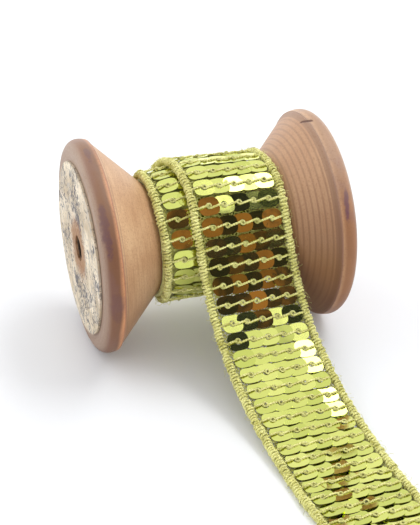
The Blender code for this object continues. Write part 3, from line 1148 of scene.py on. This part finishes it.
def wood_material():
    made, nodes, shader = new_material("turned_wood", Roughness=0.5, Coat_Weight=0.06, Coat_Roughness=0.35)
    place = nodes.add("ShaderNodeVectorMath", (nodes.place(), tuple(AXLE)), {"operation": "SUBTRACT"})
    x, y, z = nodes.split(place)
    radius = (y * y + z * z) ** 0.5
    around = z.math("ARCTAN2", -y)
    on_right = x.ramp(-0.001, 0.001)
    rim = x.abs().ramp(0.0302, 0.0306)

    drift = nodes.noise(place, 55.0, 2.0)
    speckle = nodes.noise(nodes.join(x * 3.0, y, z), 1500.0, 2.0, 0.6)
    lines = nodes.noise(nodes.join(radius * 40.0, around * 0.05, x * 0.2), 60.0, 3.0, 0.7)
    tone = (drift * 0.7 + lines * 0.5 + speckle * 0.35).ramp(0.55, 1.05)
    colour = nodes.mix(tone, WOOD_DEEP, WOOD_LIGHT)

    # Painted shade: the whole right half of the spool is made darker and browner.
    colour = nodes.mix(on_right * 0.6, colour, rgb(150, 99, 60))
    wave = ((x - RIM_END) * (math.tau / RING_PITCH)).cos() * 0.5 + 0.5
    uneven = nodes.noise(nodes.join(radius * 12.0, around * 0.15, 0.0), 25.0, 2.0)
    rings = (1.0 - wave).ramp(0.55, 0.98) * uneven.ramp(0.15, 0.45) * on_right
    colour = nodes.mix(rings * 0.6, colour, RING_DARK)
    # Painted shadow: a dark band on the right cone just under the rim's step.
    shade_under_rim = radius.ramp(0.0280, 0.0282) * radius.ramp(0.0296, 0.0294) * on_right
    colour = nodes.mix(shade_under_rim * 0.75, colour, rgb(128, 88, 62))
    # Painted shade: the wood is darker towards the front and the underside, more on the right than the left.
    low_front_shade = around.ramp(1.3, -0.7) * around.ramp(-2.6, -1.6) * (0.5 + on_right * 0.5)
    colour = nodes.mix(low_front_shade * 0.8, colour, rgb(108, 70, 42))
    last_line = (radius - 0.0286).abs().ramp(0.00018, 0.00006) * (1.0 - on_right)
    colour = nodes.mix(last_line * 0.45, colour, STAIN_PURPLE)

    # The band of each rim next to the cone: on the left an orange painted highlight, on the right a lighter
    # wood colour.
    worn = (x.abs() + (drift - 0.5) * 0.002).ramp(0.0320, 0.0308)
    plain_rim = nodes.mix(on_right, RIM_BROWN, RIM_TAN)
    rim_band_colour = nodes.mix(on_right, RIM_HIGHLIGHT_ORANGE, WOOD_DEEP)
    rim_colour = nodes.mix(worn * 0.85, plain_rim, rim_band_colour)
    grey = x.abs().ramp(0.0340, 0.0354)
    rim_colour = nodes.mix(grey, rim_colour, FACE_GREY)
    rim_colour = nodes.mix(lines.ramp(0.42, 0.62) * 0.22, rim_colour, RIM_BROWN)
    blotch = nodes.noise(nodes.join(x * 1.5, y, z), 80.0, 4.0, 0.6).ramp(0.50, 0.60)
    rim_colour = nodes.mix(blotch * (1.0 - grey) * 0.3, rim_colour, STAIN_PURPLE)
    ragged = nodes.noise(place, 300.0, 3.0, 0.6)

    def stain(at_x, degrees, half_width, half_degrees, slant=0.0):
        """The share of a ragged oval stain on the rim, round a place given by x and by degrees."""
        turned = (around - math.radians(degrees)) / math.radians(half_degrees)
        across = (x - at_x - turned * slant) / half_width
        return (across * across + turned * turned + (ragged - 0.5) * 4.0).ramp(1.4, 0.4)

    handled = stain(-0.0338, 36.0, 0.0012, 13.0) + stain(-0.0330, 84.0, 0.0008, 7.0)
    handled = handled + stain(-0.0330, -5.0, 0.0016, 9.0) * 0.4
    rim_colour = nodes.mix(handled.math("MINIMUM", 1.0) * 0.85, rim_colour, rgb(92, 56, 60))
    spot = stain(0.0325, 31.0, 0.0008, 9.0, 0.0005)
    rim_colour = nodes.mix(spot * 0.9, rim_colour, rgb(92, 48, 66))
    rim_edge = (x.abs() - RIM_END).abs().ramp(0.0004, 0.0001)
    colour = nodes.mix(rim, colour, rim_colour)
    colour = nodes.mix(rim_edge * 0.45, colour, STAIN_PURPLE)
    # Painted light and shade on the tops: the left cone's top is darkened as painted shade, the right cone's
    # and the rims' tops are lightened as painted light.
    high = around.sin().ramp(0.3, 1.0)
    colour = nodes.mix(high * (1.0 - on_right) * (1.0 - rim) * 0.35, colour, WOOD_DEEP)
    colour = nodes.mix(high * (on_right * 0.15 + rim * 0.1), colour, TOP_PAINTED_LIGHT)

    pores = nodes.noise(nodes.join(x, y, z), 2000.0, 3.0, 0.65)
    colour = nodes.mix(pores.ramp(0.50, 0.68) * 0.35, colour, RING_DARK)

    crack_way = (math.radians(94.0) - around) / math.radians(8.0)
    crack_gap = (radius - 0.0281 - crack_way * 0.0020 + (speckle - 0.5) * 0.0004).abs()
    crack = crack_gap.ramp(0.00042, 0.00018) * crack_way.ramp(-0.05, 0.15) * crack_way.ramp(1.1, 0.9)
    crack = crack * x.ramp(0.0318, 0.0314)
    colour = nodes.mix(crack * on_right * 0.9, colour, rgb(84, 44, 28))

    # Painted shade inside the bore.
    colour = nodes.mix(radius.ramp(0.0036, 0.0033), colour, BORE_PAINTED_SHADE)

    fine = lines * 0.6 + speckle * 0.4 - pores * 0.5 - crack * on_right * 2.0
    finish_material(nodes, shader, colour, 0.42 + speckle * 0.2, fine, 0.00004)
    return made


spool.data.materials.append(wood_material())

# %% [markdown]
# The paper disc is glued to the left end. It is old and cockled: its edge wanders, and the hole was
# punched through by a spindle, so its rim is torn and brown. The face has a faded grey-blue speckle.

# %% Paper disc
LABEL_RADIUS = 24.2 * MM
LABEL_HOLE_RADIUS = 3.7 * MM
LABEL_NEAR = -35.72 * MM
LABEL_FAR = -36.30 * MM
LABEL_STEPS = 120
PAPER_LIGHT = rgb(226, 213, 190)
PAPER_DEEP = rgb(186, 168, 140)
PAPER_GREY = rgb(150, 149, 150)
PAPER_SPOT = rgb(72, 72, 84)
PAPER_TORN = rgb(150, 104, 62)


def paper_edge(angle, radius):
    """How far the paper's edge wanders, most at the torn hole."""
    share = 0.30 * MM if radius < 0.5 * LABEL_RADIUS else 0.13 * MM
    wander = math.sin(5.0 * angle + 1.0) + 0.7 * math.sin(11.0 * angle + 2.0) + 0.5 * math.sin(23.0 * angle)
    return share * wander / 2.2 if radius in (LABEL_RADIUS, LABEL_HOLE_RADIUS) else 0.0


def paper_outline():
    faces_out = [(LABEL_FAR, blend(LABEL_RADIUS, LABEL_HOLE_RADIUS, step / 6)) for step in range(7)]
    return [(LABEL_NEAR, LABEL_RADIUS), *faces_out, (LABEL_NEAR, LABEL_HOLE_RADIUS)]


def paper_material():
    made, nodes, shader = new_material("aged_paper", Roughness=0.75)
    place = nodes.add("ShaderNodeVectorMath", (nodes.place(), tuple(AXLE)), {"operation": "SUBTRACT"})
    x, y, z = nodes.split(place)
    radius = (y * y + z * z) ** 0.5
    around = z.math("ARCTAN2", y)
    age = nodes.noise(place, 110.0, 4.0, 0.6)
    colour = nodes.mix(age.ramp(0.35, 0.65), PAPER_DEEP, PAPER_LIGHT)
    clouds = nodes.noise(nodes.join(radius * 2.0, around * 0.012, 0.0), 200.0, 3.0, 0.6)
    worn = nodes.noise(place, 900.0, 3.0, 0.7)
    colour = nodes.mix((clouds * 0.6 + worn * 0.5).ramp(0.54, 0.68) * 0.6, colour, PAPER_GREY)
    flecks = nodes.noise(place, 1000.0, 3.0, 0.65)
    patch = nodes.noise(place, 150.0, 1.0)
    colour = nodes.mix((flecks + patch * 0.6).ramp(0.85, 0.89) * 0.85, colour, PAPER_SPOT)
    torn = (radius + (worn - 0.5) * 0.009).ramp(0.0104, 0.0058)
    colour = nodes.mix(torn * 0.85, colour, PAPER_TORN)
    edge = (radius + (worn - 0.5) * 0.001).ramp(0.0236, 0.0242)
    colour = nodes.mix(edge * 0.35, colour, PAPER_DEEP)
    finish_material(nodes, shader, colour, None, age * 0.5 + worn * 0.5, 0.00012)
    return made


paper = lathe("paper_disc", paper_outline(), LABEL_STEPS, paper_edge)
paper.data.materials.append(paper_material())
print("paper disc", len(paper.data.polygons), "faces")

# %% Hand the spool to the frame
for piece, node, slot_name in ((spool, "spool", "turned_wood"), (paper, "paper_label", "aged_paper")):
    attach(piece, "root")
    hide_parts(node)
